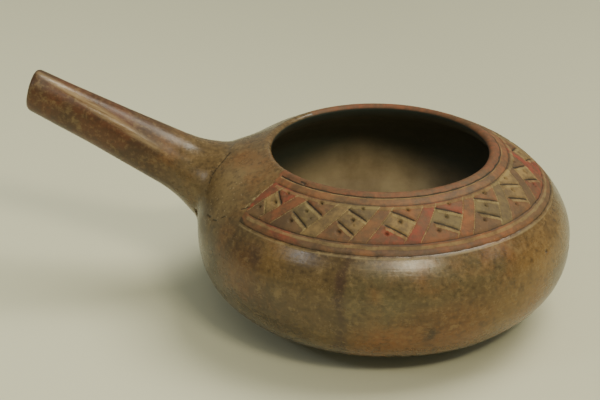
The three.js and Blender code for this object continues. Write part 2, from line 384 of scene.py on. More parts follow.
def handle_profile(handle, inner):
    """The handle's outline from the inner end of its axis to the middle of its tip."""
    body = handle.tip_at - handle.rounding - inner
    rows = [inner + body * (i / HANDLE_ROWS) for i in range(HANDLE_ROWS + 1)]
    profile = [(0.0, inner)] + [(handle_radius(handle, along), along) for along in rows]
    for turn in range(15, 90, 15):
        t = math.radians(turn)
        profile.append((
            handle.tip_radius - handle.rounding * (1 - math.cos(t)),
            handle.tip_at - handle.rounding * (1 - math.sin(t)),
        ))
    # The end is slightly domed.
    blunt = handle.tip_radius - handle.rounding
    dome = ((blunt - 1.5 * MM, 0.35 * MM), (blunt - 4.5 * MM, 0.8 * MM), (0.0, 1.1 * MM))
    return profile + [(radius, handle.tip_at + rise) for radius, rise in dome]


def slide_to_wall(bowl, local, turn, start, direction):
    """How far each place near the root slides along, so that the first row lies inside the wall."""
    inner, root_end = HANDLE_INNER * MM, HANDLE_ROOT_END * MM
    flat = local * (1, 1, 0) @ turn + start
    ends = (local * (1, 1, 0) + (0, 0, inner)) @ turn + start
    for _ in range(12):
        ends -= direction * (gap_to_bowl(bowl, ends) + 3 * MM)[:, None]
    share = np.clip((root_end - local[:, 2]) / (root_end - inner), 0, 1)
    return ((ends - flat) @ direction - inner) * share


def handle_mesh(bowl, handle):
    """The handle, whose inner end follows the middle of the bowl's wall."""
    bm = turned(handle_profile(handle, HANDLE_INNER * MM), handle.segments)
    local = places_of(bm)
    # Towards its end the handle gets slimmer from front to back.
    share = smoothstep(handle.root_at, handle.tip_at - 30 * MM, local[:, 2])
    across = np.array([-math.sin(SLIM_TURN), -math.cos(SLIM_TURN)])
    local[:, :2] -= across * ((local[:, :2] @ across) * HANDLE_SLIMNESS * share)[:, None]
    share = smoothstep(handle.tip_at - 20 * MM, handle.tip_at, local[:, 2])
    local[:, 2] += local[:, 0] * handle.slant * share
    turn = np.array(Matrix.Rotation(-(math.pi / 2 - handle.rise), 3, "Y")).T
    start, direction = handle_axis(bowl, handle)
    places = local @ turn + start
    places += direction * slide_to_wall(bowl, local, turn, start, direction)[:, None]
    # Clay is built up towards the bowl.
    _, upness, along = gap_to_handle(bowl, handle, places)
    outward = places - start - along[:, None] * direction
    outward /= np.maximum(np.linalg.norm(outward, axis=1), 1e-6)[:, None]
    off_middle = np.hypot(local[:, 0], local[:, 1]) > 5 * MM
    built_up = fillet(gap_to_bowl(bowl, places), upness, HANDLE_FILLET) * off_middle
    places += outward * built_up[:, None]
    move_to(bm, places)
    return bm


def joined(first, second):
    """One closed bmesh of two that overlap."""
    objects = []
    for bm in (first, second):
        mesh = bpy.data.meshes.new("raw_clay")
        bm.to_mesh(mesh)
        bm.free()
        obj = bpy.data.objects.new("raw_clay", mesh)
        bpy.context.collection.objects.link(obj)
        objects.append(obj)
    modifier = objects[0].modifiers.new("Join", "BOOLEAN")
    modifier.operation = "UNION"
    modifier.solver = "EXACT"
    modifier.object = objects[1]
    evaluated = objects[0].evaluated_get(bpy.context.evaluated_depsgraph_get())
    bm = bmesh.new()
    bm.from_mesh(evaluated.to_mesh())
    for obj in objects:
        mesh = obj.data
        bpy.data.objects.remove(obj)
        bpy.data.meshes.remove(mesh)
    bmesh.ops.remove_doubles(bm, verts=bm.verts, dist=0.03 * MM)
    return bm


def soften_root(bm, bowl, handle):
    """Smooths the seam between bowl and handle, where the potter's thumb has been."""
    places = places_of(bm)
    side_gap, upness, along = gap_to_handle(bowl, handle, places)
    wall_gap = gap_to_bowl(bowl, places)
    near = (np.abs(side_gap) < 7 * MM) & (wall_gap < 7 * MM) & (wall_gap > -1.5 * MM) & (along > 60 * MM)
    verts = [v for v, chosen in zip(bm.verts, near) if chosen]
    for _ in range(14):
        bmesh.ops.smooth_vert(
            bm, verts=verts, factor=0.5, use_axis_x=True, use_axis_y=True, use_axis_z=True,
        )


# The frieze

def wrapped(angle):
    return (angle + 180.0) % 360.0 - 180.0


def slanted(angle, lean, middle):
    """A line's angle at a radius, where it leans by some degrees for each millimetre beyond a middle one."""
    return lambda radius: angle - lean * (radius - middle)


def border_lines(frieze):
    """The sides of the bars and of the end borders, from left to right: angle at a radius in millimetres."""
    half = math.degrees(frieze.bar_width) / 2
    lean = frieze.bar_lean
    inner = RINGS[1]
    pairs = [(slanted(FRIEZE_START, 0.17, inner), slanted(FRIEZE_START + 6.5, 0.46, inner))]
    for middle in BAR_ANGLES:
        pairs.append(tuple(slanted(side, lean, FIELD_MIDDLE) for side in (middle - half, middle + half)))
    end = slanted(FRIEZE_END - 1, 0.3, inner)
    pairs.append((end, end))
    return pairs


def strokes_and_dots(frieze):
    """Strokes as two (angle, radius) ends and a strength, and dots as (angle, radius, size)."""
    inner, outer = RINGS[1], RINGS[2]
    pairs = border_lines(frieze)
    strokes, dots = [], []
    for pair in pairs:
        for side in dict.fromkeys(pair):
            strokes.append(((side(inner), inner), (side(outer), outer), 0.8))
    for i, ((_, left), (right, _)) in enumerate(zip(pairs, pairs[1:])):
        for start, end, lead in FIELD_STROKES:
            strokes.append(((left(start) + lead, start), (right(end) + 0.2, end), 1.35))
        for radius, share in FIELD_DOTS:
            stray = noise.noise(Vector((i * 3.7, radius, 0.5)))
            place = left(radius) + (right(radius) - left(radius)) * (share + 0.12 * stray)
            dots.append((place, radius + 0.8 * stray, 1 + 0.35 * stray))
    return strokes, dots + SMALL_DOTS


def unrolled(bowl, places):
    """Each place as its angle, its radius in millimetres, and its way down the shoulder in millimetres."""
    angle = np.degrees(np.arctan2(places[:, 1], places[:, 0]))
    radius = np.hypot(places[:, 0], places[:, 1]) / MM
    return angle, radius, shoulder_way(bowl, radius)


def shoulder_way(bowl, radius):
    """Distance down the shoulder's surface from a radius of 55 mm, in millimetres."""
    heights = shoulder_height(bowl, SHOULDER_SAMPLES * MM) / MM
    steps = np.hypot(np.diff(SHOULDER_SAMPLES), np.diff(heights))
    return np.interp(radius, SHOULDER_SAMPLES, np.concatenate([[0.0], np.cumsum(steps)]))


def shoulder_radius(bowl, way):
    """The radius in millimetres at a way down the shoulder."""
    return np.interp(way, shoulder_way(bowl, SHOULDER_SAMPLES), SHOULDER_SAMPLES)


def on_shoulder(bowl, angle, radius):
    """The places on the shoulder's outside at angles and radii, in millimetres."""
    turn = np.radians(angle)
    height = shoulder_height(bowl, radius * MM) / MM
    return np.stack([radius * np.cos(turn), radius * np.sin(turn), height], axis=1)


def from_above(angle, radius):
    return np.array((math.cos(math.radians(angle)), math.sin(math.radians(angle)))) * radius


def chord_radius(angle, start, end):
    """The radius at an angle of a line between two (angle, radius) ends that looks straight from above."""
    first, last = from_above(*start), from_above(*end)
    way = last - first
    crossing = np.cos(np.radians(angle)) * way[1] - np.sin(np.radians(angle)) * way[0]
    crossing = np.where(np.abs(crossing) < 1e-3, 1e-3, crossing)
    return np.clip((first[0] * way[1] - first[1] * way[0]) / crossing, 56, 93)


def uneven(first, second, layer):
    """A smooth noise from -1 to 1 at each pair of values."""
    return np.array([noise.noise(Vector((x, y, layer))) for x, y in zip(first, second)])


class Carving:
    """The frieze's part of the mesh laid flat, and what is cut into it.

    A line is cut by moving the mesh's nearest vertices onto it and pressing them in, which keeps it crisp.
    """

    def __init__(self, bowl, places):
        self.bowl = bowl
        angle, radius, way = unrolled(bowl, places)
        outer = (np.abs(gap_to_bowl(bowl, places)) < 0.6 * MM) & (places[:, 2] > bowl.widest)
        zone = outer & (radius > RINGS[0] - 1.1) & (radius < RINGS[3] + 1.1)
        self.chosen = np.nonzero(zone)[0]
        self.angle, self.radius, self.way = angle[zone], radius[zone], way[zone]
        # Millimetres for each degree, and the mesh's steps round the bowl and down it.
        self.arc = math.pi / 180 * self.radius
        self.column = 360 / bowl.segments / (FRIEZE_CUTS + 1) * self.arc
        rows = np.unique(np.round(self.way, 2))
        rows = rows[np.insert(np.diff(rows) > 0.2, 0, True)]
        self.row = np.interp(self.way, rows, np.gradient(rows)) * 1.02
        self.wander = uneven(self.angle / 5.0, self.way / 6.0, 3.1)
        self.press = 0.85 + 0.5 * uneven(self.angle / 2.5, self.way / 2.5, 9.3)
        self.across, self.down, self.depth, self.pit, self.shade, self.dust = np.zeros((6, len(self.chosen)))

    def cut(self, sideways, downward, strength, looks):
        """Cuts a line, given how far it lies sideways and downward from each vertex, and paints shade in it
        and pale on it or below it.
        """
        shaded, paleness, pale_below = looks
        beside = np.abs(sideways) <= self.column / 2
        on_line = beside & (np.abs(downward) <= self.row / 2) & (strength > 0)
        fresh = on_line & (self.depth == 0)
        self.across[fresh], self.down[fresh] = sideways[fresh], downward[fresh]
        self.depth[on_line] = np.maximum(self.depth, strength * self.press)[on_line]
        strength = np.minimum(strength, 1)
        # Painted shade in the line.
        self.shade[on_line] = np.maximum(self.shade, shaded * strength)[on_line]
        # Pale on the line or on its lower side: partly earth, partly painted light on the lit lower wall.
        pale_places = beside & (np.abs(downward + self.row) <= self.row / 2) if pale_below else on_line
        self.dust[pale_places] = np.maximum(self.dust, paleness * strength)[pale_places]

    def cut_rings(self):
        for ring, lead in zip(RINGS, RING_LEADS):
            beyond = np.maximum(FRIEZE_START + lead - self.angle, self.angle - FRIEZE_END).clip(0) * self.arc
            downward = shoulder_way(self.bowl, ring) + 0.2 * self.wander - self.way
            self.cut(0 * downward, downward, 0.85 * np.clip(1 - beyond, 0, 1), RING_LINE)

    def cut_stroke(self, start, end, strength):
        """Cuts a stroke between two (angle, radius) ends. A rather level one looks straight from above."""
        from_start = wrapped(self.angle - start[0])
        turn = end[0] - start[0]
        first, last = (shoulder_way(self.bowl, radius) for _, radius in (start, end))
        level = abs(turn) * self.arc.mean() > abs(last - first)
        if level:
            t = from_start / turn
            course = shoulder_way(self.bowl, chord_radius(self.angle, start, end)) + 0.12 * self.wander
            sideways, downward = 0 * t, course - self.way
        else:
            t = (self.way - first) / (last - first)
            sideways, downward = (t * turn - from_start) * self.arc + 0.25 * self.wander, 0 * t
        within = np.clip(6 * np.minimum(t + 0.04, 1.04 - t), 0, 1) * (np.abs(from_start) < 40)
        self.cut(sideways, downward, strength * within, LEVEL_LINE if level else STEEP_LINE)

    def punch(self, dot_radius, angle, radius, size):
        """Punches a dot, with painted shade at its upper side and pale at its lower one, partly dust and
        partly painted light.
        """
        right = wrapped(self.angle - angle) * self.arc / (dot_radius / MM * size)
        low = (self.way - shoulder_way(self.bowl, radius)) / (dot_radius / MM * size)
        away = np.hypot(right, low)
        hole = np.clip(1 - away ** 2, 0, 1) ** 0.7 * min(1.0, size)
        lower_side = smoothstep(1.25, 0.7, away) * smoothstep(0.1, 0.8, low - 0.5 * right)
        self.pit = np.maximum(self.pit, hole)
        # Painted shade at the dot's upper side; pale at its lower side, partly painted light.
        self.shade = np.maximum(self.shade, hole * smoothstep(0.2, -0.5, low - 0.4 * right))
        self.dust = np.maximum(self.dust, 0.6 * lower_side)

    def press_in(self, bm, line_depth, dot_depth):
        """Moves the mesh's vertices."""
        bm.normal_update()
        bm.verts.ensure_lookup_table()
        normals = np.array([bm.verts[i].normal for i in self.chosen])
        reach = shoulder_radius(self.bowl, self.way + self.down)
        moved = on_shoulder(self.bowl, self.angle + self.across / self.arc, reach)
        places = places_of(bm)
        places[self.chosen] += (moved - on_shoulder(self.bowl, self.angle, self.radius)) * MM
        places[self.chosen] -= normals * np.maximum(self.depth * line_depth, self.pit * dot_depth)[:, None]
        move_to(bm, places)


def carve(bm, bowl, frieze):
    """Cuts the frieze and returns what the clay's material needs at each vertex."""
    places = places_of(bm)
    carving = Carving(bowl, places)
    carving.cut_rings()
    strokes, dots = strokes_and_dots(frieze)
    for stroke in strokes:
        carving.cut_stroke(*stroke)
    for dot in dots:
        carving.punch(frieze.dot_radius, *dot)
    carving.press_in(bm, frieze.line_depth, frieze.dot_depth)

    slip, coat = slip_colours(frieze, carving.angle, carving.radius)
    found = {
        "cut": carving.depth > 0, "groove": carving.shade, "dust": carving.dust, "coat": coat, "slip": slip,
    }
    marks = {}
    for name, values in found.items():
        marks[name] = np.zeros((len(places), *values.shape[1:]))
        marks[name][carving.chosen] = values
    paint_lip(marks, bowl, frieze, places, places_of(bm)[:, 2])
    return marks


def paint_lip(marks, bowl, frieze, places, height):
    """Paints the lip above the frieze, redder at the front. The height is the one after the carving."""
    angle, radius, _ = unrolled(bowl, places)
    lip = (radius < RINGS[0] + 0.1) & (height > shoulder_height(bowl, bowl.lip_outer) - 0.9 * MM)
    painted = lip & (angle > FRIEZE_START - 2) & (angle < FRIEZE_END + 1)
    redness = smoothstep(-112, -96, angle) * smoothstep(-66, -80, angle) * 0.8 + 0.2
    rust, red = np.array(frieze.rust), np.array(frieze.red)
    marks["slip"][painted] = (rust + (red - rust) * redness[:, None])[painted]
    marks["coat"][painted] = 0.95


def slip_colours(frieze, angle, radius):
    """The slip over the frieze: its colour at each angle and radius, and how thickly it lies."""
    slip = np.zeros((len(angle), 3))
    coat = np.zeros(len(angle))

    def paint(where, name, thickness):
        slip[where] = getattr(frieze, name)
        coat[where] = thickness

    inside = (angle > FRIEZE_START - 1.2) & (angle < FRIEZE_END + 0.6)
    in_field = inside & (radius > RINGS[1]) & (radius < RINGS[2])
    pairs = border_lines(frieze)
    for (left, right), name in zip(pairs, ("red", *BAR_SLIPS)):
        paint(in_field & (angle > left(radius)) & (angle < right(radius)), name, 1)
    for (_, left), (right, _), names in zip(pairs, pairs[1:], FIELD_SLIPS):
        between = in_field & (angle >= left(radius)) & (angle <= right(radius))
        share = (angle - left(radius)) / np.maximum(right(radius) - left(radius), 0.1)
        # The slips change at about the strokes.
        upper = radius < 66.8 + 5.4 * share
        lower = radius > 73.1 + 5.7 * share
        for part, name in zip((upper, ~upper & ~lower, lower), names):
            paint(between & part, name, 1)
    paint(inside & (radius >= RINGS[0]) & (radius <= RINGS[1]), "orange", 0.85)
    hem = inside & (radius >= RINGS[2]) & (radius <= RINGS[3])
    for start, name in HEM_SLIPS:
        paint(hem & (angle > start + 2.0 * (radius - RINGS[2])), name, 0.85)
    coat[hem] = 0.85
    return slip, coat


def refine_frieze(bm, bowl):
    """Divides the mesh's steps round the bowl where the frieze is cut."""
    edges = []
    for edge in bm.edges:
        one, two = (v.co for v in edge.verts)
        if abs(one.z - two.z) > 0.05 * MM or edge.calc_length() > 3 * MM:
            continue
        middle = (one + two) / 2
        radius = math.hypot(middle.x, middle.y) / MM
        angle = math.degrees(math.atan2(middle.y, middle.x))
        height = float(shoulder_height(bowl, radius * MM))
        if RINGS[0] - 1.5 < radius < RINGS[3] + 1.4 and abs(middle.z - height) < 0.5 * MM:
            if FRIEZE_START - 2.5 < angle < FRIEZE_END + 2.5:
                edges.append(edge)
    bmesh.ops.subdivide_edges(bm, edges=edges, cuts=FRIEZE_CUTS, use_grid_fill=True)


def lean_and_wobble(bm, bowl):
    """Sets the mouth off the axis and gives the whole a hand-built unevenness."""
    edge = float(shoulder_height(bowl, bowl.lip_outer))
    for vert in bm.verts:
        co = vert.co
        share = max(0.0, (co.z - bowl.widest) / (edge - bowl.widest))
        broad, close = noise.noise(co * 22.0), noise.noise(co * 60.0 + Vector((4, 1, 7)))
        co += vert.normal * ((broad * 0.35 + close * 0.12) * MM * min(1.0, co.z / (6 * MM)))
        # The lean fades out where the handle begins.
        fade = min(1.0, max(0.0, (co.x + 100 * MM) / (12 * MM)))
        co.x += bowl.lean_x * share * fade
        co.y += bowl.lean_y * share * fade


# Cracks as (width, depth, points) and pits as (radius, depth, point), all in millimetres.
CRACKS = (
    (0.5, 0.6, ((-75.1, -8.8, 82.5), (-76.6, -11.1, 81.3), (-77.5, -13.0, 80.2), (-80.0, -15.9, 77.6),
                (-82.3, -18.1, 74.8), (-84.0, -21.3, 70.9))),
    (0.25, 0.35, ((-84.0, -21.3, 70.9), (-85.4, -23.6, 67.0), (-87.8, -24.0, 62.5), (-91.7, -20.4, 55.1))),
    (0.25, 0.3, ((-90.4, -23.7, 54.8), (-85.5, -33.0, 59.3))),
    (0.6, 0.7, ((-81.6, -39.1, 61.8), (-79.1, -43.0, 62.5))),
    (0.5, 0.6, ((-77.2, -46.1, 62.8), (-74.8, -48.8, 63.9))),
    (0.4, 0.5, ((-71.8, -50.2, 66.2), (-69.8, -51.1, 67.7))),
    (0.35, 0.45, ((-60.9, -53.8, 73.2), (-58.8, -54.5, 74.2), (-56.4, -55.0, 75.4))),
    (0.3, 0.4, ((-32.4, -48.6, 87.7), (-29.9, -50.7, 87.4), (-28.0, -51.9, 87.4))),
)
PITS = (
    (1.9, 2.4, (-92.6, -18.8, 52.6)), (1.0, 1.3, (83.8, -40.0, 56.2)), (1.0, 0.7, (-29.9, -50.7, 87.4)),
)
# Within these distances of them, in millimetres, the mesh's edges are halved.
FINER_WITHIN = (4.2, 2.6, 1.7)


def along_path(path, step):
    """Points at about even steps along a path."""
    points = []
    for start, end in zip(path, path[1:]):
        start, end = Vector(start), Vector(end)
        count = max(1, round((end - start).length / step))
        points += [start.lerp(end, i / count) for i in range(count + 1)]
    return points


def gap_to_path(places, path):
    """The distance from each place to a path."""
    gap = np.full(len(places), 1e3)
    for start, end in zip(path, path[1:]):
        start, way = np.array(start), np.array(end) - np.array(start)
        t = np.clip((places - start) @ way / (way @ way), 0, 1)
        gap = np.minimum(gap, np.linalg.norm(places - start - t[:, None] * way, axis=1))
    return gap


def refine_damage(bm):
    """Makes the mesh finer round the cracks and pits."""
    centres = [Vector(p) * MM for _, _, path in CRACKS for p in along_path(path, 1.0)]
    centres += [Vector(p) * MM for _, _, p in PITS]
    tree = kdtree.KDTree(len(centres))
    for i, centre in enumerate(centres):
        tree.insert(centre, i)
    tree.balance()
    for reach in FINER_WITHIN:
        faces = [f for f in bm.faces if tree.find(f.calc_center_median())[2] < reach * MM]
        edges = {e for f in faces for e in f.edges if e.calc_length() > 0.62 * MM}
        bmesh.ops.subdivide_edges(bm, edges=list(edges), cuts=1, use_grid_fill=True)


def damage(bm):
    """Presses in the cracks and pits and returns how much darker each vertex is painted in them, the more so
    in deeper pits.
    """
    bm.normal_update()
    places = places_of(bm) / MM
    press = np.zeros(len(places))
    dark = np.zeros(len(places))
    for width, depth, path in CRACKS:
        share = np.clip(1 - gap_to_path(places, path) / (width / 2 + 0.2), 0, 1)
        press = np.maximum(press, depth * share)
        dark = np.maximum(dark, np.clip(share * 1.6, 0, 1))
    for radius, depth, point in PITS:
        share = np.clip(1 - (np.linalg.norm(places - np.array(point), axis=1) / radius) ** 2, 0, 1)
        press = np.maximum(press, depth * share)
        dark = np.maximum(dark, np.clip(share * 1.3, 0, 1) * min(1, max(0.15, 1.4 * depth - 0.4)))
    bm.verts.ensure_lookup_table()
    for i in np.nonzero(press)[0]:
        vert = bm.verts[i]
        vert.co -= vert.normal * (press[i] * MM)
    return dark


# Materials

class Value:
    """The output of a shader node that can be used in sums: every sum adds its Math nodes."""

    def __init__(self, surface, socket):
        self.surface = surface
        self.socket = socket

    def sum(self, operation, *terms):
        return self.surface.node("ShaderNodeMath", dict(enumerate(terms)), operation=operation)

    def __add__(self, other):
        return self.sum("ADD", self, other)

    __radd__ = __add__

    def __sub__(self, other):
        return self.sum("SUBTRACT", self, other)

    def __rsub__(self, other):
        return self.sum("SUBTRACT", other, self)

    def __mul__(self, other):
        return self.sum("MULTIPLY", self, other)

    __rmul__ = __mul__

    def between(self, low, high):
        """0 below low, 1 above high, and a soft step from one to the other."""
        sockets = {"Value": self, "From Min": low, "From Max": high}
        return self.surface.node("ShaderNodeMapRange", sockets, interpolation_type="SMOOTHSTEP")


class Surface:
    """A new material and its nodes."""

    def __init__(self, name):
        self.material = bpy.data.materials.new(name)
        self.material.use_nodes = True
        self.tree = self.material.node_tree
        self.tree.nodes.clear()

    def node(self, kind, sockets=None, output=0, **settings):
        """Adds a node: first its settings, then the values or links of its sockets."""
        node = self.tree.nodes.new(kind)
        for name, value in settings.items():
            setattr(node, name, value)
        for name, value in (sockets or {}).items():
            socket = node.inputs[name]
            if isinstance(value, Value):
                self.tree.links.new(value.socket, socket)
            else:
                socket.default_value = value
        return Value(self, node.outputs[output])

    def mix(self, share, first, second):
        """A colour between two others."""
        tints = {6: first, 7: second}
        tints = {k: v if isinstance(v, Value) else (*v, 1.0) for k, v in tints.items()}
        return self.node("ShaderNodeMix", {0: share, **tints}, output=2, data_type="RGBA", clamp_factor=True)

    def noise(self, where, scale, detail=3.0, roughness=0.55, output=0):
        return self.node(
            "ShaderNodeTexNoise", {"Vector": where, "Scale": scale, "Detail": detail, "Roughness": roughness},
            output=output,
        )

    def vector(self, operation, *terms, output=0):
        return self.node("ShaderNodeVectorMath", dict(enumerate(terms)), output=output, operation=operation)

    def stretched(self, where, scale, slope=0.0):
        """The place on a pattern that is stretched to a size in metres, its X axis sloping by an angle."""
        sockets = {"Vector": where, "Rotation": (0.0, slope, 0.0), "Scale": scale}
        return self.node("ShaderNodeMapping", sockets, vector_type="TEXTURE")

    def size_of(self, value):
        return self.node("ShaderNodeMath", {0: value}, operation="ABSOLUTE")

    def spot(self, where, centre, reach):
        """1 at a centre, falling to 0 at a distance, in metres."""
        return 1 - self.vector("DISTANCE", where, centre, output=1).between(reach * 0.15, reach)

    def finish(self, **sockets):
        shader = self.node("ShaderNodeBsdfPrincipled", sockets)
        out = self.tree.nodes.new("ShaderNodeOutputMaterial")
        self.tree.links.new(shader.socket, out.inputs["Surface"])
        return self.material


# Places where fire and use have changed the clay: angle, height in mm, reach in mm, colour, strength.
FIRE_CLOUDS = (
    (-141, 46, 44, "dark", 0.65), (-122, 30, 34, "dark", 0.6), (-118, 63, 14, "gold", 0.45),
    (-128, 52, 20, "warm", 0.35), (-104, 44, 26, "brown", 0.5), (-112, 20, 30, "dark", 0.5),
    (-92, 66, 9, "purple", 0.65), (-84, 67, 7, "purple", 0.5), (-104, 66, 8, "purple", 0.35),
    (-124, 60, 8, "purple", 0.6),
    (-86, 54, 26, "grey", 0.7), (-66, 58, 26, "grey", 0.75), (-50, 62, 18, "grey", 0.6),
    (-84, 24, 24, "warm", 0.6), (-62, 28, 30, "warm", 0.55), (-46, 34, 26, "gold", 0.5),
    (-32, 44, 30, "gold", 0.6), (-30, 22, 30, "warm", 0.6), (-18, 62, 30, "gold", 0.5),
    (-69.5, 32, 6, "dark", 0.9), (-158, 78, 20, "tan", 0.7), (-150, 66, 22, "tan", 0.5),
    (15, 50, 50, "brown", 0.5), (48, 28, 46, "dark", 0.6), (80, 56, 40, "warm", 0.6),
    (112, 34, 44, "grey", 0.6), (145, 52, 44, "dark", 0.5), (170, 70, 22, "tan", 0.5),
)
# The dark streak that runs down the front: its angle and half its width in mm.
STREAK_ANGLE = -96.0
STREAK_REACH = 4.2
# Two places on the painted highlight along the handle, a pale line where its highlight lies, in mm.
HANDLE_HIGHLIGHT_LINE = (-156, -6, 107), (-107, -13, 80)
# A patch beside the handle where pale specks lie close: angle, height and reach in mm.
SANDY_PATCH = (-152, 68, 30)
# How far the clouds' edges are frayed, in mm.
FRAYED = 24


def surface_point(bowl, angle, height):
    """The place on the bowl's outside at an angle in degrees and a height in millimetres."""
    rise = height * MM - bowl.widest
    power, reach = (bowl.shoulder_power, bowl.shoulder) if rise > 0 else (bowl.belly_power, bowl.belly)
    r = bowl.radius * max(0.0, 1 - (abs(rise) / reach) ** power) ** (1 / power)
    return (r * math.cos(math.radians(angle)), r * math.sin(math.radians(angle)), height * MM)


class Clay(Surface):
    """The vessel's material: burnished clay, painted slips, painted light and shade in the hollow, and in the
    lines earth, painted shade and painted light.
    """

    def __init__(self, settings):
        super().__init__("burnished_clay")
        self.colours, self.bowl = settings.clay, settings.bowl
        self.where = self.node("ShaderNodeTexCoord", output=3)
        self.x, self.y, self.z = (
            self.node("ShaderNodeSeparateXYZ", {"Vector": self.where}, output=axis) for axis in range(3)
        )
        self.on_handle = 1 - self.x.between(-0.122, -0.096)
        self.broad = self.noise(self.where, 10.0, 3.0, 0.5)
        self.mottle = self.noise(self.where, 30.0, 5.0, 0.62)
        self.fine = self.noise(self.where, 170.0, 4.0, 0.7)
        self.grain = self.noise(self.where, 480.0, 3.0, 0.65)
        # The burnisher's strokes run round the bowl and along the handle.
        rounds = self.noise(self.stretched(self.where, (1 / 15, 1 / 15, 1 / 280)), 1.0, 4.0, 0.65)
        along = self.stretched(self.where, (1 / 13, 1 / 260, 1 / 260), settings.handle.rise)
        self.strokes = rounds + (self.noise(along, 1.0, 4.0, 0.65) - rounds) * self.on_handle
        frayed = self.noise(self.where, 42.0, 5.0, 0.6, output=1)
        self.frayed = self.vector("ADD", self.where, self.vector("MULTIPLY", frayed, (FRAYED * MM,) * 3))
        self.painted_highlight_line = self.painted_handle_highlight()
        self.sandy = self.cloud(*SANDY_PATCH)
        self.coat, self.groove, self.dust, self.hollow, self.dark = (
            self.mark(name) for name in ("coat", "groove", "dust", "hollow", "dark")
        )

    def mark(self, name, output=2):
        """What the mesh says at each place."""
        return self.node("ShaderNodeAttribute", output=output, attribute_name=name)

    def colour(self, name):
        return tuple(getattr(self.colours, name))

    def toned(self, tint, *tones):
        """A tint with shares of the clay's own colours mixed in, one after the other."""
        for share, name in tones:
            tint = self.mix(share, tint, self.colour(name))
        return tint

    def cloud(self, angle, height, reach):
        """A spot on the bowl's outside with a frayed edge."""
        centre = Vector(surface_point(self.bowl, angle, height)) + Vector((FRAYED / 2 * MM,) * 3)
        return self.spot(self.frayed, tuple(centre), reach * MM)

    def painted_handle_highlight(self):
        # Painted highlight: a pale line along the handle's upper side, 1 on it and 0 away from it.
        first, last = (Vector(place) * MM for place in HANDLE_HIGHLIGHT_LINE)
        offset = self.vector("SUBTRACT", self.where, tuple(first))
        beside = self.vector("CROSS_PRODUCT", offset, tuple((last - first).normalized()))
        away = self.vector("LENGTH", beside, output=1) + (self.mottle - 0.5) * 0.004
        return (1 - away.between(0.0, 0.0032)) * self.on_handle

    def streak(self):
        """The dark run down the front of the belly."""
        side = math.radians(STREAK_ANGLE + 90)
        reach = STREAK_REACH * MM
        away = self.vector("DOT_PRODUCT", self.where, (math.cos(side), math.sin(side), 0.0), output=1)
        away = self.size_of(away + (self.fine - 0.5) * 0.008 + (self.mottle - 0.5) * 0.018)
        return (1 - away.between(0.1 * reach, reach)) * (1 - self.y.between(-0.07, -0.05))

    def bare(self):
        """Bare clay, clouded by the fire, with a darker, redder handle, the burnisher's strokes and a painted
        highlight along the handle.
        """
        clouds = [(self.cloud(*place) * strength, name) for *place, name, strength in FIRE_CLOUDS]
        tint = self.toned(self.colour("body"), (self.broad.between(0.38, 0.62), "brown"), *clouds)
        handle_tint = self.toned(self.colour("russet"), (self.mottle.between(0.4, 0.62), "dark"))
        return self.toned(
            self.mix(self.on_handle * 0.95, tint, handle_tint),
            (self.streak() * self.mottle.between(0.25, 0.5) * 0.9, "purple"),
            (self.mottle.between(0.5, 0.72) * 0.5, "warm"),
            (self.mottle.between(0.5, 0.3) * 0.5, "dark"),
            (self.strokes.between(0.5, 0.25) * 0.3, "dark"),
            (self.strokes.between(0.55, 0.8) * 0.2, "tan"),
            (self.fine.between(0.54, 0.7) * 0.45, "tan"),
            (self.fine.between(0.46, 0.3) * 0.5, "dark"),
            (self.grain.between(0.52, 0.66) * 0.3, "tan"),
            (self.grain.between(0.48, 0.34) * 0.4, "dark"),
            # Painted highlight along the handle.
            (self.painted_highlight_line * self.strokes.between(0.3, 0.55) * 0.7, "specks_and_painted_highlight"),
        )

    def painted(self, tint):
        """The slips of the frieze, worn so that the clay shows through."""
        worn = self.noise(self.where, 85.0, 5.0, 0.68).between(0.36, 0.6) * 0.5
        worn += self.noise(self.where, 420.0, 4.0, 0.7).between(0.35, 0.65) * 0.5
        slip = self.toned(
            self.mark("slip", output=0),
            (0.18 + self.fine.between(0.62, 0.38) * 0.5, "dark"),
            (self.mottle.between(0.56, 0.36) * 0.35, "brown"),
        )
        return self.mix(self.coat * (0.3 + 0.45 * worn + 0.3 * self.mottle.between(0.3, 0.6)), tint, slip)

    def painted_hollow_light_and_shade(self, tint):
        """Painted light and shade in the hollow: pale low down at its far side, and painted shade higher up
        and towards its sides, under the lip.
        """
        # Painted shade: darker higher up and towards the sides; below it the pale is painted light.
        painted_hollow_shade = (self.z + 0.28 * self.size_of(self.x + 0.022)).between(0.034, 0.064)
        lining = self.toned(
            self.colour("inside"), (self.mottle.between(0.35, 0.65) * 0.5, "brown"), (painted_hollow_shade, "painted_hollow_shade"),
        )
        return self.mix(self.hollow, tint, lining)

    def shaded_lines_and_specks(self, tint):
        """Pale on the lines, partly dust and partly painted light on their lit sides, painted shade in the
        lines and dots, darker cracks and pits, and mineral specks.
        """
        specks = self.node("ShaderNodeTexVoronoi", {"Vector": self.where, "Scale": 420.0}, output=0)
        sparse = self.noise(self.where, 60.0, 3.0).between(0.6, 0.75) * 0.3 + self.sandy * 0.7
        return self.toned(
            tint,
            # Pale on the lines: partly dust, partly painted light on their lit sides.
            (self.dust.between(0.55, 1.0) * (0.4 + 0.6 * self.fine.between(0.35, 0.6)), "dust"),
            # Painted shade in the lines and dots.
            (self.groove.between(0.3, 0.85) * 0.85, "dark_in_recesses"),
            ((1 - specks.between(0.08, 0.24)) * sparse, "specks_and_painted_highlight"),
            # Darker in the cracks and pits.
            (self.dark, "dark_in_recesses"),
        )


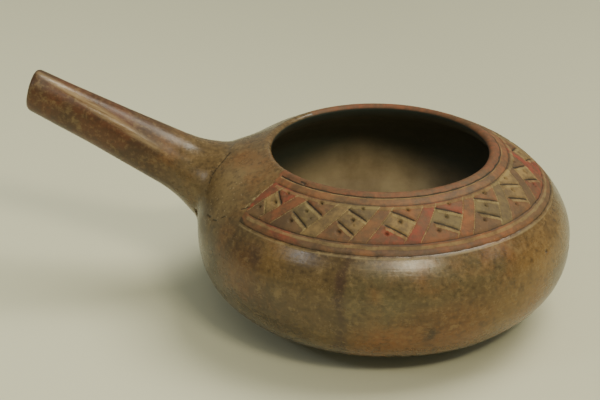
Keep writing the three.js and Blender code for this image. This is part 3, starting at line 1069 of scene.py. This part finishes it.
def clay_material(settings):
    s = Clay(settings)
    tint = s.shaded_lines_and_specks(s.painted_hollow_light_and_shade(s.painted(s.bare())))
    rough = (
        0.2 * s.mottle + 0.2 * s.strokes + 0.24 * s.fine - 0.06
        + 0.5 * s.coat + 0.3 * s.dust + 0.4 * s.hollow + 0.3 * s.sandy
        + 0.12 * s.on_handle - 0.26 * s.painted_highlight_line
    )
    relief = 0.16 * s.grain + 0.3 * s.fine + 0.3 * s.mottle + 0.5 * s.strokes
    bump = s.node("ShaderNodeBump", {"Height": relief, "Strength": 0.35, "Distance": 0.0006})
    return s.finish(**{"Base Color": tint, "Roughness": rough, "Normal": bump, "Specular IOR Level": 0.5})


# Painted shade on the floor: the way in which it gets darker, and the share of its brightness that is left
# there.
FLOOR_SLOPE = (0.75, 0.35, 0.0)
FLOOR_SHADE = 0.76


def floor_material(settings):
    """Paper with painted shade, a little darker towards the back and the right."""
    s = Surface("pale_paper")
    where = s.node("ShaderNodeTexCoord", output=3)
    slope = s.vector("DOT_PRODUCT", where, FLOOR_SLOPE, output=1)
    # Painted shade: darker towards the back and the right.
    share = slope.between(-0.22, 0.16) + (s.noise(where, 3.0, 2.0) - 0.5) * 0.2
    pale = tuple(settings.stage.floor)
    tint = s.mix(share, pale, tuple(FLOOR_SHADE * c for c in pale))
    return s.finish(**{"Base Color": tint, "Roughness": 0.9, "Specular IOR Level": 0.1})


# The tints of the lamps and of the windows.
WARM = (1.0, 0.95, 0.80)
COOL = (0.86, 0.92, 1.0)
# The lights: name, place, size, the setting that gives the power, the share of it, and the colour.
LIGHTS = (
    ("key", (0.52, -0.85, 0.97), (0.30, 0.10), "key", 1.0, (1.0, 0.90, 0.62)),
    ("wide", (0.30, -0.88, 0.98), (0.7, 0.25), "wide", 1.0, WARM),
    ("top", (0.52, 0.20, 1.22), (0.8, 0.8), "top", 1.0, WARM),
    ("left_window", (-0.84, -0.74, 0.86), (0.2, 0.2), "window", 1.0, COOL),
    ("right_window", (1.15, -0.11, 0.76), (0.2, 0.16), "window", 0.3, COOL),
)
# What the lights are turned to, and the colour of the light from all round.
LIT_PLACE = (0.0, 0.0, 0.04)
ROOM_COLOUR = (0.95, 0.98, 0.82, 1.0)


# Operators

def in_hollow(bowl, places):
    """1 at each place on the hollow's surface, and 0 elsewhere."""
    from_axis, height = np.hypot(places[:, 0], places[:, 1]), places[:, 2]
    edge = shoulder_height(bowl, bowl.lip_outer)
    throat = (from_axis < bowl.lip_inner + 6 * MM) & (height < edge - 0.4 * MM)
    inner_wall = (gap_to_bowl(bowl, places) < -4 * MM) & (places[:, 0] > -bowl.radius)
    return np.where((throat | inner_wall) & (height > 3 * MM), 1.0, 0.0)


class DIPPER_OT_vessel(bpy.types.Operator):
    """Builds the bowl and its handle as one piece of clay, with the incised and painted frieze"""

    bl_idname = "dipper.vessel"
    bl_label = "Clay Vessel"

    def execute(self, context):
        settings = context.scene.dipper
        bowl, handle, frieze = settings.bowl, settings.handle, settings.frieze
        bm = joined(bowl_mesh(bowl, handle, frieze.row), handle_mesh(bowl, handle))
        soften_root(bm, bowl, handle)
        refine_frieze(bm, bowl)
        refine_damage(bm)
        marks = carve(bm, bowl, frieze)
        marks["dark"] = damage(bm)
        for edge in bm.edges:
            edge.smooth = not all(marks["cut"][v.index] for v in edge.verts)
        marks["hollow"] = in_hollow(bowl, places_of(bm))
        bm.normal_update()
        lean_and_wobble(bm, bowl)
        mesh = bpy.data.meshes.new("clay_vessel")
        bm.to_mesh(mesh)
        bm.free()
        mesh.polygons.foreach_set("use_smooth", [True] * len(mesh.polygons))
        for name in ("groove", "dust", "coat", "hollow", "dark"):
            layer = mesh.attributes.new(name, "FLOAT", "POINT")
            layer.data.foreach_set("value", marks[name].astype(np.float32))
        layer = mesh.attributes.new("slip", "FLOAT_COLOR", "POINT")
        tints = np.pad(marks["slip"], ((0, 0), (0, 1)), constant_values=1.0)
        layer.data.foreach_set("color", tints.astype(np.float32).ravel())
        mesh.materials.append(clay_material(settings))
        vessel = bpy.data.objects.new("clay_vessel", mesh)
        context.collection.objects.link(vessel)
        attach(vessel, "root")
        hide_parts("vessel")
        print("vessel triangles", sum(len(p.vertices) - 2 for p in mesh.polygons))
        return {"FINISHED"}


class DIPPER_OT_stage(bpy.types.Operator):
    """Adds the pale floor, the soft lights and the camera"""

    bl_idname = "dipper.stage"
    bl_label = "Stage"

    def execute(self, context):
        settings = context.scene.dipper
        looks = settings.stage
        bm = bmesh.new()
        bmesh.ops.create_grid(bm, x_segments=4, y_segments=4, size=4.0)
        mesh = bpy.data.meshes.new("floor")
        bm.to_mesh(mesh)
        bm.free()
        mesh.materials.append(floor_material(settings))
        floor = bpy.data.objects.new("floor", mesh)
        context.collection.objects.link(floor)

        for name, place, size, setting, share, tint in LIGHTS:
            light = bpy.data.lights.new(name, "AREA")
            light.shape = "RECTANGLE"
            light.size, light.size_y = size
            light.energy = getattr(looks, setting) * share
            light.color = tint
            lamp = bpy.data.objects.new(name, light)
            context.collection.objects.link(lamp)
            turn = (Vector(place) - Vector(LIT_PLACE)).to_track_quat("Z", "Y").to_matrix().to_4x4()
            lamp.matrix_world = Matrix.Translation(place) @ turn

        world = bpy.data.worlds.new("soft_room")
        world.use_nodes = True
        background = world.node_tree.nodes["Background"]
        background.inputs["Color"].default_value = ROOM_COLOUR
        background.inputs["Strength"].default_value = looks.room
        context.scene.world = world
        add_camera(context, settings)
        return {"FINISHED"}


# The photograph's size and the place of the bowl's middle in it, in pixels, and the film's width in mm.
IMAGE_SIZE = (600, 400)
MIDDLE_IN_IMAGE = (382.5, 222.1)
FILM_WIDTH = 36.0


def add_camera(context, settings):
    looks = settings.stage
    target = Vector((0, 0, settings.bowl.widest))
    back = Vector((
        math.cos(looks.elevation) * math.sin(looks.azimuth),
        -math.cos(looks.elevation) * math.cos(looks.azimuth),
        math.sin(looks.elevation),
    ))
    right = Vector((0, 0, 1)).cross(back).normalized()
    up = back.cross(right)
    c, s = math.cos(looks.roll), math.sin(looks.roll)
    right, up = right * c + up * s, up * c - right * s
    # The camera turns away from the bowl's middle, so that the middle lands beside the picture's centre.
    pixels = looks.focal / FILM_WIDTH * IMAGE_SIZE[0]
    across, down = (place - size / 2 for place, size in zip(MIDDLE_IN_IMAGE, IMAGE_SIZE))
    ray = Vector((across, -down, -pixels)).normalized()
    side = Vector((0, 1, 0)).cross(-ray).normalized()
    offset = Matrix((side, (-ray).cross(side), -ray))
    aimed = Matrix((right, up, back)).transposed() @ offset
    data = bpy.data.cameras.new("camera")
    data.sensor_fit = "HORIZONTAL"
    data.sensor_width = FILM_WIDTH
    data.lens = looks.focal
    data.clip_start = 0.01
    camera = bpy.data.objects.new("camera", data)
    context.collection.objects.link(camera)
    camera.matrix_world = Matrix.Translation(target + back * looks.distance) @ aimed.to_4x4()
    context.scene.camera = camera


class DIPPER_PT_panel(bpy.types.Panel):
    bl_idname = "DIPPER_PT_panel"
    bl_label = "Dipper Bowl"
    bl_space_type = "VIEW_3D"
    bl_region_type = "UI"
    bl_category = "Dipper Bowl"

    def draw(self, context):
        settings = context.scene.dipper
        for group in (settings.bowl, settings.handle, settings.frieze, settings.clay, settings.stage):
            box = self.layout.box()
            for name in group.__annotations__:
                box.prop(group, name)
        for operator in OPERATORS:
            self.layout.operator(operator.bl_idname)


OPERATORS = (DIPPER_OT_vessel, DIPPER_OT_stage)
GROUPS = (BowlSizes, HandleSizes, FriezeSizes, ClayColours, StageLooks, DipperSettings)
CLASSES = (*GROUPS, *OPERATORS, DIPPER_PT_panel)


def register():
    for cls in CLASSES:
        bpy.utils.register_class(cls)
    bpy.types.Scene.dipper = PointerProperty(type=DipperSettings)


def unregister():
    del bpy.types.Scene.dipper
    for cls in reversed(CLASSES):
        bpy.utils.unregister_class(cls)


def main():
    register()
    for operator in (bpy.ops.dipper.vessel, bpy.ops.dipper.stage):
        if operator() != {"FINISHED"}:
            raise RuntimeError("an operator did not finish")


if __name__ == "__main__":
    main()
